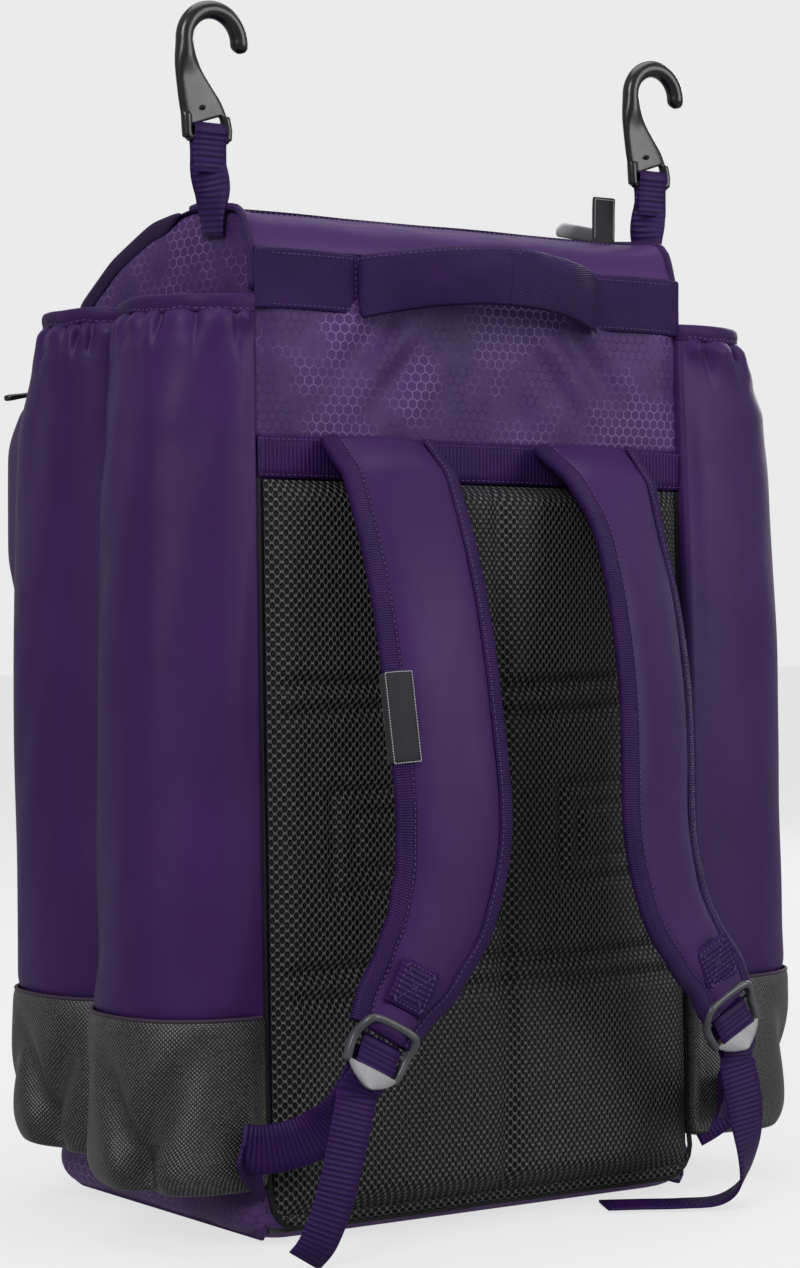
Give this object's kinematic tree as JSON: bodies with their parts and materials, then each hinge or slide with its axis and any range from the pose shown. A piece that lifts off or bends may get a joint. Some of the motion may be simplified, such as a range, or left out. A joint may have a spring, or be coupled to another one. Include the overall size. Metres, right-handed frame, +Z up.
{
  "type": "equipment backpack",
  "caption": "Tall equipment backpack with side sleeves for bats, padded mesh back, shoulder straps, front-opening lid, front pockets and fence hooks.",
  "frame": {"origin": "middle of the base, on the floor", "axes": "+Z up, -Y towards the wearer's back, +X to the right seen from the wearer's side"},
  "size_m": [0.4366, 0.3729, 0.647],
  "materials": {
    "coated_fabric": "smooth polymer-coated fabric, satin",
    "ripstop": "hexagon ripstop, satin",
    "lining": "plain woven lining",
    "webbing": "ribbed polyester webbing",
    "binding": "ribbed grosgrain binding",
    "spacer_mesh": "open spacer mesh",
    "ballistic_nylon": "coarse basket weave nylon",
    "foam": "closed-cell foam",
    "sheet": "matt polyethylene sheet",
    "zip_tape": "coil zip tape",
    "label": "plain woven label",
    "hook_plastic": "glossy moulded nylon",
    "buckle_plastic": "satin moulded acetal",
    "slider_metal": "black painted zinc",
    "pull_plastic": "matt moulded rubbery plastic",
    "pull_grey": "matt moulded rubbery plastic"
  },
  "bodies": {
    "pack": {"back_foam": "foam", "back_mesh": "spacer_mesh", "back_panel": "lining", "frame_sheet": "sheet", "base_board": "sheet", "side_panel_left": "ripstop", "side_panel_right": "ripstop", "front_panel": "coated_fabric", "bottom_panel": "coated_fabric", "top_panel": "coated_fabric", "yoke_panel": "ripstop", "strap_band": "webbing", "edge_piping": "ballistic_nylon", "main_zip_rear": "zip_tape", "zip_label": "label", "handle_anchor_left": "webbing", "handle_anchor_right": "webbing", "sleeve_left_rear": "coated_fabric", "sleeve_left_front": "coated_fabric", "sleeve_right_rear": "coated_fabric", "sleeve_right_front": "coated_fabric", "boot_left_rear": "ballistic_nylon", "boot_left_front": "ballistic_nylon", "boot_right_rear": "ballistic_nylon", "boot_right_front": "ballistic_nylon", "rim_left_rear": "coated_fabric", "rim_left_front": "coated_fabric", "rim_right_rear": "coated_fabric", "rim_right_front": "coated_fabric", "upper_pocket": "coated_fabric", "upper_pocket_zip": "zip_tape", "lower_pocket": "coated_fabric", "lower_pocket_zip": "zip_tape", "web_anchor_left": "webbing", "web_anchor_right": "webbing"},
    "lid": {"lid": "coated_fabric", "main_zip_front": "zip_tape"},
    "main_slider": {"main_slider": "slider_metal"},
    "main_pull": {"main_pull": "pull_grey"},
    "upper_slider": {"upper_slider": "slider_metal"},
    "upper_pull": {"upper_pull": "pull_plastic"},
    "lower_slider": {"lower_slider": "slider_metal"},
    "lower_pull": {"lower_pull": "pull_plastic"},
    "handle": {"grab_handle": "webbing"},
    "hook_strap_left": {"hook_strap_left": "webbing"},
    "hook_strap_right": {"hook_strap_right": "webbing"},
    "fence_hook_left": {"fence_hook_left": "hook_plastic"},
    "fence_hook_right": {"fence_hook_right": "hook_plastic"},
    "strap_left": {"strap_pad_left": "coated_fabric", "strap_binding_left": "binding", "strap_tab_left": "webbing", "strap_label": "label"},
    "strap_right": {"strap_pad_right": "coated_fabric", "strap_binding_right": "binding", "strap_tab_right": "webbing"},
    "lock_left": {"ladder_lock_left": "buckle_plastic", "lower_web_left": "webbing"},
    "lock_right": {"ladder_lock_right": "buckle_plastic", "lower_web_right": "webbing"}
  },
  "joints": [
    {"name": "lid_open", "type": "hinge", "parent": "pack", "child": "lid", "pos_m": [0, 0.1124, 0.4549], "axis": [-1, 0, 0], "range_deg": [0, 95]},
    {"name": "main_slider_travel", "type": "slide", "parent": "lid", "child": "main_slider", "axis": [-1, 0, 0], "range_m": [0, 0.25]},
    {"name": "main_pull_flip", "type": "hinge", "parent": "main_slider", "child": "main_pull", "pos_m": [0.134, -0.033, 0.54895], "axis": [0, 1, 0], "range_deg": [0, 150]},
    {"name": "upper_slider_travel", "type": "slide", "parent": "pack", "child": "upper_slider", "axis": [1, 0, 0], "range_m": [0, 0.24]},
    {"name": "upper_pull_flip", "type": "hinge", "parent": "upper_slider", "child": "upper_pull", "pos_m": [-0.124, 0.146, 0.4575], "axis": [0, 1, 0], "range_deg": [0, 180]},
    {"name": "lower_slider_travel", "type": "slide", "parent": "pack", "child": "lower_slider", "axis": [1, 0, 0], "range_m": [0, 0.24]},
    {"name": "lower_pull_flip", "type": "hinge", "parent": "lower_slider", "child": "lower_pull", "pos_m": [-0.124, 0.1735, 0.27], "axis": [1, 0, 0], "range_deg": [0, 90]},
    {"name": "handle_lift", "type": "hinge", "parent": "pack", "child": "handle", "pos_m": [0, -0.10209, 0.51414], "axis": [-1, 0, 0], "range_deg": [0, 80]},
    {"name": "hook_strap_left_bend", "type": "hinge", "parent": "pack", "child": "hook_strap_left", "pos_m": [-0.1442, -0.06, 0.538], "axis": [0, -1, 0], "range_deg": [-30, 100]},
    {"name": "fence_hook_left_tilt", "type": "hinge", "parent": "hook_strap_left", "child": "fence_hook_left", "pos_m": [-0.15, -0.06, 0.579], "axis": [1, 0, 0], "range_deg": [-60, 60]},
    {"name": "hook_strap_right_bend", "type": "hinge", "parent": "pack", "child": "hook_strap_right", "pos_m": [0.1442, -0.06, 0.538], "axis": [0, 1, 0], "range_deg": [-30, 100]},
    {"name": "fence_hook_right_tilt", "type": "hinge", "parent": "hook_strap_right", "child": "fence_hook_right", "pos_m": [0.15, -0.06, 0.579], "axis": [1, 0, 0], "range_deg": [-60, 60]},
    {"name": "strap_left_swing", "type": "hinge", "parent": "pack", "child": "strap_left", "pos_m": [0, -0.10069, 0.41806], "axis": [-1, 0, 0], "range_deg": [-1, 14]},
    {"name": "ladder_lock_left_tilt", "type": "hinge", "parent": "strap_left", "child": "lock_left", "pos_m": [-0.11019, -0.167, 0.11836], "axis": [-0.891, 0, 0.454], "range_deg": [0, 25]},
    {"name": "strap_right_swing", "type": "hinge", "parent": "pack", "child": "strap_right", "pos_m": [0, -0.10069, 0.41806], "axis": [-1, 0, 0], "range_deg": [-1, 14]},
    {"name": "ladder_lock_right_tilt", "type": "hinge", "parent": "strap_right", "child": "lock_right", "pos_m": [0.11019, -0.167, 0.11836], "axis": [-0.891, 0, -0.454], "range_deg": [0, 25]}
  ]
}
